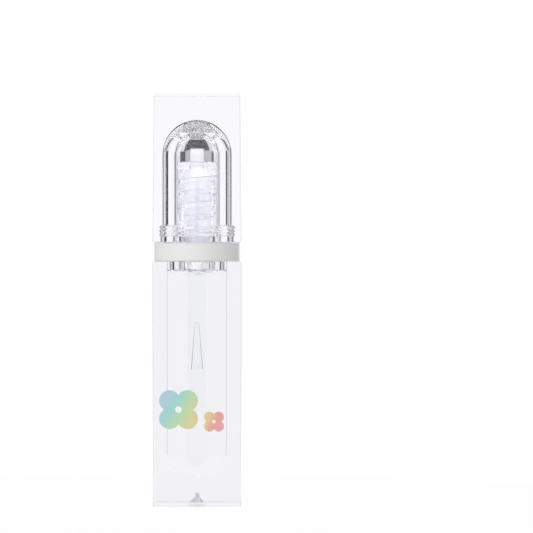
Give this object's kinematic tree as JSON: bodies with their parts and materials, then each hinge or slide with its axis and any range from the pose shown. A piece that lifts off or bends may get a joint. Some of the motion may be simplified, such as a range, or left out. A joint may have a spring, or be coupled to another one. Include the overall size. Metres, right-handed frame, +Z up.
{
  "type": "lip gloss tube",
  "caption": "Slim square tube of thick clear plastic with a round-bottomed gloss chamber, a silver collar and a clear screw cap that carries a dip wand.",
  "frame": {"origin": "centre of the square base, on the surface that the tube stands on", "axes": "+Z up the tube's axis to the cap; -Y is the front, which carries the foil mark; +X is to the right of it"},
  "size_m": [0.018, 0.018, 0.0829],
  "materials": {
    "clear_block": "polished, clear, colourless",
    "natural_plastic": "smooth, clear to slightly milky",
    "wiper_plastic": "soft, translucent",
    "silver_collar": "matte, fine-grained silver",
    "clear_gloss": "clear, wet",
    "iridescent_foil": "stamped foil that turns from teal and blue to yellow, orange and pink",
    "clear_cap": "polished, clear, with a finely frosted dome",
    "frosted_plastic": "frosted, translucent",
    "clear_stem": "polished, clear, faintly blue",
    "clear_tip": "smooth, soft, clear"
  },
  "bodies": {
    "bottle": {"bottle": "clear_block", "neck_insert": "natural_plastic", "wiper": "wiper_plastic", "collar": "silver_collar", "gloss_fill": "clear_gloss", "foil_mark": "iridescent_foil"},
    "wand": {"wand_stem": "clear_stem", "applicator_tip": "clear_tip"},
    "cap": {"outer_cap": "clear_cap", "inner_cap": "frosted_plastic"}
  },
  "joints": [
    {"name": "cap_lift", "type": "slide", "parent": "bottle", "child": "wand", "axis": [0, 0, 1], "range_m": [0, 0.06]},
    {"name": "cap_turn", "type": "hinge", "parent": "wand", "child": "cap", "pos_m": [0, 0, 0.06], "axis": [0, 0, 1], "range_deg": [0, 8640]}
  ],
  "couplings": [
    {"joint": "cap_turn", "follows": "cap_lift", "rad_per_m": 2513.3}
  ]
}
